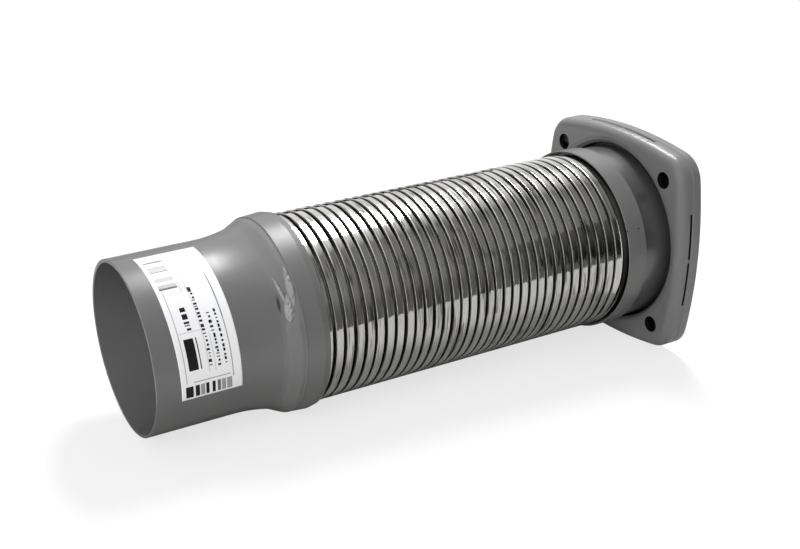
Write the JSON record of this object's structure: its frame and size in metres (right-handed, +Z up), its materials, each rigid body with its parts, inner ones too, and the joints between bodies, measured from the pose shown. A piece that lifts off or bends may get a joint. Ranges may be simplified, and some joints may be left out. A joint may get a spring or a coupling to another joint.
{
  "type": "exhaust flex pipe",
  "caption": "Straight exhaust flex pipe: a strip-wound steel hose between a plain clamp-on stub and a short neck in a square bolted flange.",
  "frame": {"origin": "centre of the flange's mating face, on the pipe's axis", "axes": "+X along the pipe's axis, out of the mating face; the stub points to -X; +Z up, with one side of the flange underneath"},
  "size_m": [0.3558, 0.14, 0.14],
  "materials": {
    "grey_paint": "satin grey paint on steel",
    "hose_steel": "bright rolled steel strip"
  },
  "bodies": {
    "root": {"outlet_spigot": "grey_paint", "outlet_weld": "grey_paint", "outlet_sleeve": "grey_paint", "flex_hose": "hose_steel", "inlet_collar": "grey_paint", "flange_neck": "grey_paint", "neck_weld": "grey_paint", "flange_shell": "grey_paint", "rim_tacks": "grey_paint", "flange_plate": "grey_paint"}
  },
  "joints": []
}
